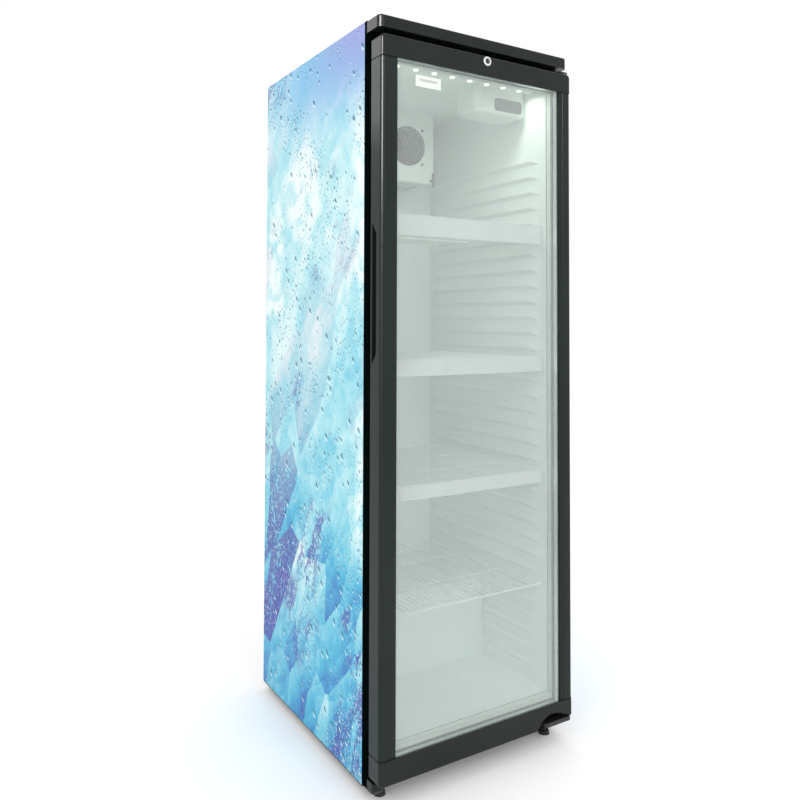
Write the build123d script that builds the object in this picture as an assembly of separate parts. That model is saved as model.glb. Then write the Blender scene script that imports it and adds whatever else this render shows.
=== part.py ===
from build123d import *
import os

# Glass door merchandiser: an upright display cooler with one hinged, double glazed door.
# Millimetres. X runs to the right and Y to the back for someone facing the door, Z runs up.
# The origin is on the floor under the middle of the cooler's box.
# Depths are given as distances behind the door's front face and turned into Y by depth().

# Overall
WIDTH = 595.0
HEIGHT = 1830.0
DOOR_TO_BACK = 690.0
LOCK_PROUD = 2.0
HALF = WIDTH / 2
DOOR_FACE = LOCK_PROUD - (DOOR_TO_BACK + LOCK_PROUD) / 2

# Cabinet casing
SKIRT = 25.0
BASE_LOW = 20.5
WRAP_FILM = 0.3
SHEET = 1.0
CASE_HALF = HALF - WRAP_FILM - SHEET
FRAME_FRONT = 56.0
FRAME_BACK = 81.0
FRAME_TOP = 1800.0
FASCIA_FRONT = 12.0
FASCIA_BACK = 70.0
TOE_INNER = 268.0
TOE_FRONT = 27.0
TOE_TOP = 50.0
FLOOR_SHEET = 1.5
CASE_FLOOR = 42.0
SHEET_BACK = 688.5
DENT_DEPTH = 0.6
DENT_HALF = 240.0

# Cold compartment
ROOM_HALF = 257.5
ROOM_LOW = 120.0
ROOM_TOP = 1758.0
ROOM_BACK = 615.0
LINER = 2.0
LINER_FRONT = 56.6
FLANGE_LOW = 60.0
HUMP_FRONT = 330.0
HUMP_TOP = 345.0
HUMP_FOAM = 32.0
FLOOR_GROOVES = (-170, -105, -40, 40, 105, 170)
GROOVE_DEPTHS = (90.0, 300.0)
GROOVE_RADIUS = 2.2

# Ribs that carry the shelves
RIB_PITCH = 43.5
RIB_FIRST = 167.5
RIB_COUNT = 33
RIB_HALF = 11.0
RIB_REACH = 8.5
RIB_UNDER = 10.0
RIB_NOSE = 36.0
RIB_FRONT = 82.0
RIB_BACK = 585.0

# Shelves
SHELF_RIBS = (27, 19, 12, 5)
SHELF_FRONT = 74.0
SHELF_BACK = 566.0
CROSS_DEPTHS = (76.5, 228.0, 400.0, 563.0)
CROSS_RADIUS = 2.5
CROSS_HALF = 254.0
WIRE_RADIUS = 1.6
WIRE_PITCH = 16.5
WIRE_COUNT = 31
WELD = 0.6
STRIP_FRONT = 66.0
STRIP_HEIGHTS = (52.0, 43.0, 36.0)
STRIP_RISES = (12.0, 4.5, 1.0)
STRIP_HALF = 250.0
STRIP_ROUND = 5.0
STRIP_LIP = 2.6

# Door
DOOR_LOW = 52.5
DOOR_TOP = 1781.0
LOW_CAP_TOP = 111.0
TOP_CAP_LOW = 1729.0
CAP_DEPTH = 48.0
CAP_SLOPE = 3.5
STILE_DEPTH = 44.0
STILE_ROUND = 8.0
REAR_LIP = 50.0
JOINT_GROOVE = 2.4
JOINT_DEPTH = 3.0
GLASS_MIDDLE = 3.0
SIGHT_HALF = 254.0
BEAD = 13.0
GLASS_HALF = 266.0
GLASS_LOW = 99.0
GLASS_HIGH = 1741.0
GLASS_FRONT = 8.0
GLASS_FIT = 0.3
PANE = 4.0
CAVITY = 12.0
SPACER_HALF = 253.0
SPACER_LOW = 108.5
SPACER_HIGH = 1731.5
LIP_HALF = 250.4
LIP_LOW = 110.0
LIP_HIGH = 1730.0
LIP_BACK = 34.0
GASKET_IN = 258.8
GASKET_OUT = 276.0
GASKET_LOW = 98.0
GASKET_HIGH = 1776.0
GASKET_DEPTH = 55.7
GRIP_LOW = 1008.0
GRIP_HIGH = 1341.0
GRIP_FRONT = 22.5
GRIP_BACK = 42.0
GRIP_REACH = 14.0
GRIP_SLOPE = 26.0

# Hinge, lock and feet
HINGE_X = 282.0
HINGE_DEPTH = 22.0
PIN_RADIUS = 4.0
RUNNING_GAP = 0.05
BUSH_RADIUS = 7.0
LOCK_X = 12.0
LOCK_Z = 1767.0
BEZEL_RADIUS = 12.0
BARREL_RADIUS = 9.5
BARREL_BACK = 28.0
CORE_RADIUS = 7.0
KEYWAY_HALF = (1.3, 4.8)
TONGUE_DEPTHS = (29.5, 32.5)
TONGUE_LENGTH = 24.0
TONGUE_HALF = 6.0
ARM_LOW = 53.0
ARM_TOP = 64.0
ARM_REACH = 297.2
KEEPER_LOW = 1785.5
FOOT_X = 258.0
FOOT_DEPTHS = (66.5, 640.0)
FOOT_RADIUS = 15.0
PAD_TOP = 9.0
NECK_RADIUS = 8.5
NECK_TOP = 16.0
STEM_RADIUS = 5.0
BUSH_WALL = 3.0
BUSH_TOP = 70.0
LOWER_BUSH = (70.5, 96.0)

# Lamps and thermostat
LAMP_PITCH = 56.5
LAMP_DEPTH = 98.0
LAMP_RADIUS = 7.0
BAR_LOW = 1746.0
BAR_HALF = 238.0
HOUSING_X = (74.0, 250.0)
HOUSING_DEPTHS = (125.0, 232.0)
HOUSING_LOW = 1682.0
WINDOW_X = (135.0, 232.0)
WINDOW_Z = (1690.5, 1724.5)
WINDOW_ROUND = 10.0

# Cooling unit
COVER_HALF = 160.0
COVER_FRONT = 450.0
COVER_LOW = 1534.0
COVER_SHEET = 2.0
COVER_HOLE = 57.4
PROBE_X = 148.0
COIL_X = (-135.0, 135.0)
COIL_DEPTHS = (510.0, 590.0)
COIL_HEIGHTS = (1585.0, 1735.0)
COIL_FINS = 28
COIL_ROWS = 5
COIL_TUBE = 4.5
FIN_THICK = 1.2
FAN_X = 60.0
FAN_Z = 1645.0
FAN_SIZE = 120.0
FAN_SCREWS = 105.0
CONDENSER_X = (-255.0, -45.0)
CONDENSER_DEPTHS = (555.0, 615.0)
CONDENSER_HEIGHTS = (85.0, 285.0)
CONDENSER_FINS = 30
CONDENSER_ROWS = 6
CONDENSER_FAN_X = -150.0
CONDENSER_FAN_Z = 185.0
CONDENSER_FAN_SIZE = 190.0
COMPRESSOR_X = 150.0
COMPRESSOR_DEPTH = 535.0
MOUNT_TOP = 57.0
DRIER_X = 20.0
DRIER_DEPTH = 640.0
DRIER_LOW = 100.0
DRIER_TOP = 220.0
GRILLE_FRONT = 679.0
GRILLE_BACK = 680.2
GLAND_X = 250.0
GLAND_Z = 88.0

GLASS_BACK = GLASS_FRONT + 2 * PANE + CAVITY
BAY_FRONT = HUMP_FRONT + HUMP_FOAM
BAY_TOP = HUMP_TOP - HUMP_FOAM
SKIN = ROOM_HALF + LINER
DRAIN_DEPTH = 600.0


def depth(*distances):
    """Y of one or more distances behind the door's front face."""
    places = tuple(DOOR_FACE + distance for distance in distances)
    return places if len(places) > 1 else places[0]


def block(x, y, z):
    """Box between two limits along each axis."""
    size = [high - low for low, high in (x, y, z)]
    middle = [(low + high) / 2 for low, high in (x, y, z)]
    return Pos(*middle) * Box(*size)


def rounded(x, y, z, axis, radius):
    """Box with its four edges along one axis rounded."""
    solid = block(x, y, z)
    return fillet(solid.edges().filter_by(axis), radius)


def bar(start, end, radius):
    """Round bar from one point to another."""
    run = Vector(*end) - Vector(*start)
    return extrude(Plane(start, z_dir=run) * Circle(radius), run.length)


def tube(start, end, outer, inner):
    """Round tube from one point to another."""
    return bar(start, end, outer) - bar(start, end, inner)


def prism_x(points, low, high):
    """Outline of (y, z) points carried from one x to another."""
    plane = Plane((low, 0, 0), x_dir=(0, 1, 0), z_dir=(1, 0, 0))
    return extrude(plane * make_face(Polyline(*points, close=True)), high - low)


def prism_y(points, low, high):
    """Outline of (x, z) points carried from one y to another."""
    plane = Plane((0, high, 0), x_dir=(1, 0, 0), z_dir=(0, -1, 0))
    return extrude(plane * make_face(Polyline(*points, close=True)), high - low)


def prism_z(points, low, high):
    """Outline of (x, y) points carried from one z to another."""
    return extrude(Plane((0, 0, low)) * make_face(Polyline(*points, close=True)), high - low)


def join(pieces):
    """All pieces fused in one step."""
    pieces = list(pieces)
    return pieces[0] + pieces[1:]


def both_sides(shape):
    """A shape and its mirror image across the middle of the cooler."""
    return [shape, mirror(shape, Plane.YZ)]


def fan_wheel(centre, hub, tip, near, far, blades):
    """Hub with pitched blades that turns about an axis along Y."""
    x, z = centre
    wheel = bar((x, near, z), (x, far, z), hub)
    thickness = 1.6
    chord = tip * 0.62
    for number in range(blades):
        blade = Pos((hub + tip) / 2 - 1, 0, 0) * Rot(32, 0, 0) * Box(tip - hub + 2, thickness, chord)
        turned = Pos(x, (near + far) / 2, z) * Rot(0, 360 * number / blades, 0) * blade
        wheel += turned
    keep = bar((x, near, z), (x, far, z), tip)
    return wheel & keep


def fan_frame(centre, size, near, far, bore, hub):
    """Square fan frame with a round bore and a motor held by four arms at its back."""
    x, z = centre
    half = size / 2
    frame = rounded((x - half, x + half), (near, far), (z - half, z + half), Axis.Y, 6)
    frame -= bar((x, near, z), (x, far, z), bore)
    arm_front = far - 4
    for turn in (45, 135, 225, 315):
        arm = Pos(x, (arm_front + far) / 2, z) * Rot(0, turn, 0) * Pos((bore + 2) / 2, 0, 0)
        frame += arm * Box(bore + 2, far - arm_front, 5)
    return frame + bar((x, arm_front, z), (x, far + 12, z), hub)


def fan_guard(centre, radius, near, far):
    """Flat finger guard of rings joined by spokes."""
    x, z = centre
    guard = bar((x, near, z), (x, far, z), radius)
    pitch = 7.0
    ring = radius - 3.0
    while ring - pitch > 14:
        guard -= tube((x, near, z), (x, far, z), ring, ring - pitch + 2.2)
        ring -= pitch
    for turn in (0, 60, 120):
        guard += Pos(x, (near + far) / 2, z) * Rot(0, turn, 0) * Box(2 * radius - 3, far - near, 2.6)
    return guard


def finned_coil(x, y, z, fins, rows):
    """Block of thin fins threaded by straight tubes that run along X."""
    pitch = (x[1] - x[0]) / (fins - 1)
    plates = []
    for number in range(fins):
        left = x[0] + number * pitch
        plates.append(block((left - FIN_THICK / 2, left + FIN_THICK / 2), y, z))
    gap = (z[1] - z[0]) / rows
    tubes = []
    for row in range(rows):
        height = z[0] + gap * (row + 0.5)
        for place in (0.25, 0.75):
            across = y[0] + (y[1] - y[0]) * place
            tubes.append(bar((x[0] - 6, across, height), (x[1] + 6, across, height), COIL_TUBE))
    return join(tubes + plates)


# Cabinet ------------------------------------------------------------------------------------

def side_panel():
    return block((CASE_HALF, CASE_HALF + SHEET), depth(FRAME_BACK, DOOR_TO_BACK), (SKIRT, HEIGHT))


def side_wrap():
    return block((HALF - WRAP_FILM, HALF), depth(FRAME_BACK, DOOR_TO_BACK), (SKIRT, HEIGHT))


def top_panel():
    return block((-CASE_HALF, CASE_HALF), depth(FRAME_BACK, DOOR_TO_BACK), (HEIGHT - SHEET, HEIGHT))


def back_panel():
    """Back sheet with a raised field pressed into it."""
    sheet = block((-CASE_HALF, CASE_HALF), depth(SHEET_BACK, DOOR_TO_BACK), (BAY_TOP, HEIGHT - SHEET))
    dent_y = depth(DOOR_TO_BACK - DENT_DEPTH, DOOR_TO_BACK)
    dent = rounded((-DENT_HALF, DENT_HALF), dent_y, (BAY_TOP + 60, HEIGHT - 90), Axis.Y, 30)
    return sheet - dent


def base_plate():
    """Shallow tray turned upside down, which closes the cabinet from below."""
    tray = block((-CASE_HALF, CASE_HALF), depth(FRAME_BACK, DOOR_TO_BACK), (BASE_LOW, CASE_FLOOR))
    inside_x = (-CASE_HALF + FLOOR_SHEET, CASE_HALF - FLOOR_SHEET)
    inside_y = depth(FRAME_BACK + FLOOR_SHEET, DOOR_TO_BACK - FLOOR_SHEET)
    tray -= block(inside_x, inside_y, (BASE_LOW - 1, CASE_FLOOR - FLOOR_SHEET))
    for side in (-1, 1):
        place = (side * FOOT_X, depth(FOOT_DEPTHS[1]))
        tray -= bar((*place, BASE_LOW - 1), (*place, CASE_FLOOR + 1), STEM_RADIUS + BUSH_WALL)
    return tray


def drain_hole(low, high, radius):
    return bar((0, depth(DRAIN_DEPTH), low), (0, depth(DRAIN_DEPTH), high), radius)


def foam_insulation():
    """Foam between the casing and the liner, stepped over the machine bay."""
    foam_y = depth(FRAME_BACK + LINER, SHEET_BACK)
    foam = block((-CASE_HALF, CASE_HALF), foam_y, (CASE_FLOOR, HEIGHT - SHEET))
    foam -= block((-SKIN, SKIN), depth(0, ROOM_BACK + LINER), (HUMP_TOP - LINER, ROOM_TOP + LINER))
    foam -= block((-SKIN, SKIN), depth(0, HUMP_FRONT + LINER), (ROOM_LOW - LINER, HUMP_TOP))
    foam -= block((-CASE_HALF, CASE_HALF), depth(BAY_FRONT, SHEET_BACK), (CASE_FLOOR, BAY_TOP))
    return foam - drain_hole(BAY_TOP - 1, HUMP_TOP, 8)


def liner_rib(height):
    """One moulded rib with a sloped crest on the right wall."""
    crest = ROOM_HALF - RIB_REACH
    ends = depth(RIB_FRONT, RIB_BACK if height > HUMP_TOP else HUMP_FRONT - 12)
    outline = [
        (ROOM_HALF + LINER / 2, height - RIB_HALF),
        (ROOM_HALF, height - RIB_HALF),
        (crest, height - RIB_HALF + RIB_UNDER),
        (crest, height + RIB_HALF),
        (ROOM_HALF + LINER / 2, height + RIB_HALF),
    ]
    rib = prism_y(outline, *ends)
    nose = [
        (crest - 1, ends[0] - 1),
        (ROOM_HALF, ends[0] - 1),
        (ROOM_HALF, ends[0]),
        (crest - 1, ends[0] + RIB_NOSE),
    ]
    return rib - prism_z(nose, height - 2 * RIB_HALF, height + 2 * RIB_HALF)


def inner_liner():
    """Thermoformed liner: walls, floor, hump, front edge, flange and shelf ribs."""
    liner_y = depth(LINER_FRONT, ROOM_BACK + LINER)
    liner = block((-SKIN, SKIN), liner_y, (ROOM_LOW - LINER, ROOM_TOP + LINER))
    liner -= block((-SKIN, SKIN), depth(HUMP_FRONT + LINER, ROOM_BACK + LINER), (0, HUMP_TOP - LINER))
    room_y = depth(LINER_FRONT - 1, ROOM_BACK)
    liner -= block((-ROOM_HALF, ROOM_HALF), room_y, (HUMP_TOP, ROOM_TOP))
    front_y = depth(LINER_FRONT - 1, HUMP_FRONT)
    liner -= block((-ROOM_HALF, ROOM_HALF), front_y, (ROOM_LOW, HUMP_TOP + 1))
    for x in FLOOR_GROOVES:
        near, far = [(x, y, ROOM_LOW + 1) for y in depth(*GROOVE_DEPTHS)]
        liner -= bar(near, far, GROOVE_RADIUS)
    flange_y = depth(FRAME_BACK, FRAME_BACK + LINER)
    flange = block((-CASE_HALF + 1, CASE_HALF - 1), flange_y, (FLANGE_LOW, FRAME_TOP))
    flange -= block((-SKIN, SKIN), depth(0, 200), (ROOM_LOW - LINER, ROOM_TOP + LINER))
    ribs = []
    for number in range(RIB_COUNT):
        ribs += both_sides(liner_rib(RIB_FIRST + number * RIB_PITCH))
    return liner + [flange] + ribs - drain_hole(HUMP_TOP - 4, HUMP_TOP + 4, 6)


def front_frame():
    """Moulded frame that the door closes against."""
    frame = block((-HALF, HALF), depth(FRAME_FRONT, FRAME_BACK), (BASE_LOW, FRAME_TOP))
    low_corners = frame.edges().filter_by(Axis.Y).sort_by(Axis.Z)[:2]
    frame = fillet(low_corners, 10)
    rim = frame.edges().group_by(Axis.Y)[0]
    frame = fillet([edge for edge in rim if edge.center().Z < FRAME_TOP - 1], 2.5)
    frame += block((-HALF, HALF), depth(FASCIA_BACK, FRAME_BACK), (FRAME_TOP, HEIGHT))
    frame -= block((-SKIN, SKIN), depth(0, 200), (ROOM_LOW - LINER, ROOM_TOP + LINER))
    for side in (-1, 1):
        place = (side * FOOT_X, depth(FOOT_DEPTHS[0]))
        frame -= bar((*place, BASE_LOW - 1), (*place, BUSH_TOP), STEM_RADIUS + BUSH_WALL)
    return frame


def top_cap():
    """Fascia above the door, with soft front corners."""
    cap = block((-HALF, HALF), depth(FASCIA_FRONT, FASCIA_BACK), (FRAME_TOP, HEIGHT))
    near = cap.edges().filter_by(Axis.Z).sort_by(Axis.Y)[:2]
    cap = fillet(near, 12)
    crown = cap.edges().group_by(Axis.Z)[-1].filter_by_position(Axis.Y, depth(0), depth(FASCIA_BACK - 1))
    return fillet(crown, 5)


def base_corner():
    """Rounded toe at the foot of the front frame, on the left."""
    toe = block((-HALF, -TOE_INNER), depth(TOE_FRONT, FRAME_FRONT), (BASE_LOW, TOE_TOP))
    low_front = toe.edges().filter_by(Axis.X).sort_by(Axis.Z)[:2].sort_by(Axis.Y)[0]
    toe = fillet(low_front, 18)
    front_face = toe.edges().group_by(Axis.Y)[0]
    uprights = front_face.filter_by(Axis.Z).sort_by(Axis.X)[0]
    return fillet(uprights, 8)


def hinge_arm(front, plate_z, flange_z, pin_z, x, flange_x, corner):
    """Flat arm with a flange on the frame and a pin for the door."""
    arm = rounded(x, depth(front, FRAME_FRONT), plate_z, Axis.Z, corner)
    arm += block(x, depth(FRAME_FRONT - 16, FRAME_FRONT), plate_z)
    arm += block(flange_x, depth(FRAME_FRONT - 3, FRAME_FRONT), flange_z)
    place = (HINGE_X, depth(HINGE_DEPTH))
    return arm + bar((*place, pin_z[0]), (*place, pin_z[1]), PIN_RADIUS)


def top_hinge_bracket():
    return hinge_arm(6, (1785, 1788), (1788, 1799), (1760, 1788), (250, 296), (250, 296), 5)


def bottom_hinge_bracket():
    """Thick arm that reaches under the arch of the door's bottom cap."""
    x = (206, ARM_REACH)
    return hinge_arm(2, (ARM_LOW, ARM_TOP), (28, ARM_LOW), (ARM_TOP, 94), x, (232, 268), 9)


def lock_keeper():
    """Slotted plate above the door that the lock's tongue rises through."""
    left, right = LOCK_X - 32, LOCK_X + 22
    plate = block((left, right), depth(24, FRAME_FRONT), (KEEPER_LOW, KEEPER_LOW + 1.5))
    plate -= block((LOCK_X - 22, LOCK_X + 11), depth(26.5, 36), (KEEPER_LOW - 1, KEEPER_LOW + 2))
    return plate + block((left, right), depth(FRAME_FRONT - 3, FRAME_FRONT), (KEEPER_LOW + 1.5, 1799))


def foot_places():
    """Centres of the four levelling feet, front left first."""
    return [(side * FOOT_X, depth(far)) for far in FOOT_DEPTHS for side in (-1, 1)]


def foot_bushes():
    """Threaded bushes that hold the levelling feet."""
    outer, inner = STEM_RADIUS + BUSH_WALL, STEM_RADIUS + RUNNING_GAP
    return [tube((*place, BASE_LOW), (*place, BUSH_TOP), outer, inner) for place in foot_places()]


def levelling_foot(place):
    """Rubber tipped foot with a hexagon neck and a threaded stem."""
    standing = (Align.CENTER, Align.CENTER, Align.MIN)
    pad = Pos(*place, 0) * Cone(FOOT_RADIUS, FOOT_RADIUS - 2, PAD_TOP, align=standing)
    neck = extrude(Plane((*place, PAD_TOP)) * RegularPolygon(NECK_RADIUS, 6), NECK_TOP - PAD_TOP)
    return pad + neck + bar((*place, NECK_TOP), (*place, BUSH_TOP - 3), STEM_RADIUS)


# Shelves ------------------------------------------------------------------------------------

def shelf_rest(level):
    """Height of the rib crest that carries a shelf."""
    return RIB_FIRST + SHELF_RIBS[level] * RIB_PITCH + RIB_HALF


def wire_shelf():
    """Welded wire shelf that stands on z = 0."""
    cross = []
    for far in CROSS_DEPTHS:
        left, right = [(x, depth(far), CROSS_RADIUS) for x in (-CROSS_HALF, CROSS_HALF)]
        cross.append(bar(left, right, CROSS_RADIUS))
    height = 2 * CROSS_RADIUS + WIRE_RADIUS - WELD
    wires = []
    for number in range(WIRE_COUNT):
        x = (number - (WIRE_COUNT - 1) / 2) * WIRE_PITCH
        wires.append(bar((x, depth(SHELF_FRONT), height), (x, depth(SHELF_BACK), height), WIRE_RADIUS))
    return join(cross + wires)


def ticket_strip(level):
    """Clip-on price strip along a shelf's front edge, with a lip along its top and its foot."""
    wire_top = shelf_rest(level) + 2 * CROSS_RADIUS + 2 * WIRE_RADIUS - WELD
    top = wire_top + STRIP_RISES[level]
    low = top - STRIP_HEIGHTS[level]
    x = (-STRIP_HALF, STRIP_HALF)
    plate = rounded(x, depth(STRIP_FRONT, STRIP_FRONT + 4), (low, top), Axis.Y, STRIP_ROUND)
    rim = plate.edges().group_by(Axis.Y)[0]
    plate = fillet(rim, 1.2)
    pane_z = (low + STRIP_LIP, top - STRIP_LIP)
    pane_x = (-STRIP_HALF + STRIP_LIP, STRIP_HALF - STRIP_LIP)
    return plate - rounded(pane_x, depth(STRIP_FRONT - 1, STRIP_FRONT + 1.4), pane_z, Axis.Y, 3)


# Cold side of the cooling unit ----------------------------------------------------------------

def evaporator_cover():
    """Cover over the evaporator, with an inlet for the fan and air slots below."""
    x, z = (-COVER_HALF, COVER_HALF), (COVER_LOW, ROOM_TOP)
    cover = block(x, depth(COVER_FRONT, ROOM_BACK), z)
    front_edges = cover.edges().filter_by(Axis.Z).sort_by(Axis.Y)[:2]
    cover = fillet(front_edges, 10)
    low_edge = cover.edges().group_by(Axis.Z)[0].sort_by(Axis.Y)[0]
    cover = fillet(low_edge, 6)
    inside_x = (x[0] + COVER_SHEET, x[1] - COVER_SHEET)
    cover -= block(inside_x, depth(COVER_FRONT + COVER_SHEET, ROOM_BACK), (z[0] + COVER_SHEET, z[1]))
    inlet = [(FAN_X, y, FAN_Z) for y in depth(COVER_FRONT - 1, COVER_FRONT + COVER_SHEET + 1)]
    cover -= bar(*inlet, COVER_HOLE)
    for number in range(9):
        left = -132 + number * 31
        cover -= block((left, left + 18), depth(500, 580), (COVER_LOW - 1, COVER_LOW + 3))
    return cover


def evaporator_coil():
    return finned_coil(COIL_X, depth(*COIL_DEPTHS), COIL_HEIGHTS, COIL_FINS, COIL_ROWS)


def evaporator_fan_frame():
    return fan_frame((FAN_X, FAN_Z), FAN_SIZE, *depth(452.1, 477), 55, 20)


def evaporator_fan_guard():
    return fan_guard((FAN_X, FAN_Z), 60, *depth(446.8, 449.6))


def evaporator_fan_rotor():
    return fan_wheel((FAN_X, FAN_Z), 21, 52, *depth(454, 472), 7)


def drip_tray():
    """Tray under the evaporator that leads the melt water to the drain."""
    tray = block((-150, 150), depth(500, 605), (1545, 1575))
    return tray - block((-148, 148), depth(502, 603), (1547, 1576))


def drain_tube():
    """Stub that carries the melt water from the compartment to the machine bay."""
    y = depth(DRAIN_DEPTH)
    return tube((0, y, BAY_TOP - 60), (0, y, HUMP_TOP - LINER), 6, 4.5)


def temperature_probe():
    """Probe in its clip at the lower corner of the evaporator cover."""
    near = depth(COVER_FRONT - 9)
    probe = bar((PROBE_X, near, COVER_LOW - 12), (PROBE_X, near, COVER_LOW + 34), 3.2)
    clip_z = (COVER_LOW + 8, COVER_LOW + 14)
    probe += block((PROBE_X - 6, PROBE_X + 6), depth(COVER_FRONT - 6, COVER_FRONT), clip_z)
    return probe + block((PROBE_X - 3, PROBE_X + 3), depth(COVER_FRONT - 9, COVER_FRONT - 5), clip_z)


def led_places():
    """X of the eight lamps along the lamp bar."""
    return [(number - 3.5) * LAMP_PITCH for number in range(8)]


def led_housing():
    """Lamp bar across the front of the ceiling."""
    bar_y = depth(LAMP_DEPTH - 12, LAMP_DEPTH + 12)
    bar_block = block((-BAR_HALF, BAR_HALF), bar_y, (BAR_LOW, ROOM_TOP))
    low_edges = bar_block.edges().filter_by(Axis.X).sort_by(Axis.Z)[:2]
    return fillet(low_edges, 4)


def led_lenses():
    """Shallow round lenses under the lamp bar."""
    lenses = []
    for x in led_places():
        lens = bar((x, depth(LAMP_DEPTH), BAR_LOW - 4), (x, depth(LAMP_DEPTH), BAR_LOW), LAMP_RADIUS)
        lenses.append(fillet(lens.edges().sort_by(Axis.Z)[0], 3))
    return lenses


def controller_housing():
    """Moulded ceiling housing for the thermostat, facing the door."""
    housing = block(HOUSING_X, depth(*HOUSING_DEPTHS), (HOUSING_LOW, ROOM_TOP))
    upright = housing.edges().filter_by(Axis.Z)
    housing = fillet(upright, 24)
    low_rim = housing.edges().group_by(Axis.Z)[0]
    housing = fillet(low_rim, 12)
    seat_x = (WINDOW_X[0] - 1, WINDOW_X[1] + 1)
    seat_z = (WINDOW_Z[0] - 1, WINDOW_Z[1] + 1)
    return housing - rounded(seat_x, depth(120, 128), seat_z, Axis.Y, WINDOW_ROUND + 1)


def controller_display():
    """Dark window of the thermostat."""
    return rounded(WINDOW_X, depth(125.4, 128), WINDOW_Z, Axis.Y, WINDOW_ROUND)


# Machine bay --------------------------------------------------------------------------------

def compressor():
    """Hermetic compressor: a welded shell on a foot plate."""
    x, y = COMPRESSOR_X, depth(COMPRESSOR_DEPTH)
    shell = Pos(x, y, 105) * Cylinder(78, 76)
    shell = fillet(shell.edges(), 24)
    dome = Pos(x, y, 160) * Cylinder(74, 70)
    dome = fillet(dome.edges(), 32)
    seam = Pos(x, y, 138) * Cylinder(80, 5)
    plate = rounded((x - 105, x + 105), (y - 75, y + 75), (MOUNT_TOP, MOUNT_TOP + 3), Axis.Z, 12)
    column = Pos(x, y, 64) * Cylinder(50, 10)
    box = rounded((x - 30, x + 30), (y + 70, y + 102), (95, 160), Axis.Y, 6)
    return join([shell, dome, seam, plate, column, box])


def compressor_mounts():
    """Rubber mounts between the compressor and the base plate."""
    mounts = []
    for across in (-88, 88):
        for along in (-58, 58):
            place = (COMPRESSOR_X + across, depth(COMPRESSOR_DEPTH) + along)
            mounts.append(bar((*place, CASE_FLOOR), (*place, MOUNT_TOP), 12))
    return mounts


def condenser_coil():
    y = depth(*CONDENSER_DEPTHS)
    return finned_coil(CONDENSER_X, y, CONDENSER_HEIGHTS, CONDENSER_FINS, CONDENSER_ROWS)


def condenser_fan_frame():
    """Fan frame on a foot that stands on the base plate."""
    near, far = depth(495, 525)
    frame = fan_frame((CONDENSER_FAN_X, CONDENSER_FAN_Z), CONDENSER_FAN_SIZE, near, far, 88, 30)
    foot = block((CONDENSER_FAN_X - 80, CONDENSER_FAN_X + 80), (near, far), (CASE_FLOOR, 95))
    return frame + foot


def condenser_fan_rotor():
    return fan_wheel((CONDENSER_FAN_X, CONDENSER_FAN_Z), 31, 84, *depth(498, 518), 5)


def filter_drier():
    """Copper drier, a can with necked ends."""
    x, y = DRIER_X, depth(DRIER_DEPTH)
    can = Pos(x, y, 160) * Cylinder(10, 90)
    can = fillet(can.edges(), 4)
    return can + bar((x, y, DRIER_LOW), (x, y, DRIER_TOP), 3.2)


def bent_pipe(points, bend, radius):
    """Pipe along straight runs joined by arcs."""
    path = FilletPolyline(*points, radius=bend)
    start = Plane(points[0], z_dir=Vector(*points[1]) - Vector(*points[0]))
    return sweep(start * Circle(radius), path)


def refrigerant_pipes():
    """Copper pipes from the compressor to the condenser, the drier and the cabinet."""
    y_comp = depth(COMPRESSOR_DEPTH)
    hot = [
        (COMPRESSOR_X - 30, y_comp, 195),
        (COMPRESSOR_X - 30, y_comp, 262),
        (-10, y_comp, 262),
        (-10, depth(570), 262),
        (-38.5, depth(570), 262),
    ]
    drier_y, wall_y = depth(DRIER_DEPTH, 480)
    liquid = [
        (DRIER_X, drier_y, DRIER_TOP),
        (DRIER_X, drier_y, 300),
        (DRIER_X, wall_y, 300),
        (DRIER_X, wall_y, BAY_TOP),
    ]
    suction = [
        (COMPRESSOR_X + 30, y_comp, 195),
        (COMPRESSOR_X + 30, y_comp, 285),
        (60, depth(450), 285),
        (60, depth(450), BAY_TOP),
    ]
    return [bent_pipe(hot, 12, 3), bent_pipe(liquid, 10, 2), bent_pipe(suction, 9, 4)]


def condensate_tray():
    """Open tray on the base plate that the drain drips into."""
    x, y = (-36, 40), depth(560, 632)
    tray = rounded(x, y, (CASE_FLOOR, 80), Axis.Z, 8)
    return tray - rounded((x[0] + 2, x[1] - 2), (y[0] + 2, y[1] - 2), (CASE_FLOOR + 2, 81), Axis.Z, 6)


def rear_grille():
    """Slotted sheet that closes the machine bay at the back."""
    grille = block((-CASE_HALF, CASE_HALF), depth(GRILLE_FRONT, GRILLE_BACK), (CASE_FLOOR, BAY_TOP))
    slots = []
    through = depth(GRILLE_FRONT - 1, GRILLE_BACK + 1)
    for row in range(5):
        low = 80 + row * 44
        for column in range(24):
            left = -276 + column * 22.4
            if left < 190 or row > 0:
                slots.append(rounded((left, left + 8), through, (low, low + 32), Axis.Y, 3.9))
    grille = grille - slots
    return grille - bar((GLAND_X, through[0], GLAND_Z), (GLAND_X, through[1], GLAND_Z), 9)


def cord_gland():
    """Gland in the rear grille for the supply cord."""
    inner, sheet, collar, outer = [(GLAND_X, y, GLAND_Z) for y in depth(670, GRILLE_BACK, 684, 688)]
    return bar(inner, outer, 9) + bar(sheet, collar, 14) - bar(inner, outer, 4)


def screw_head(place, towards):
    """Pan head that sits on a face and points towards +Y or -Y."""
    x, y, z = place
    head = bar((x, y, z), (x, y + towards * 2.4, z), 4.0)
    recess = block((x - 2.4, x + 2.4), sorted((y + towards * 1.4, y + towards * 3)), (z - 0.5, z + 0.5))
    return head - recess


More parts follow.
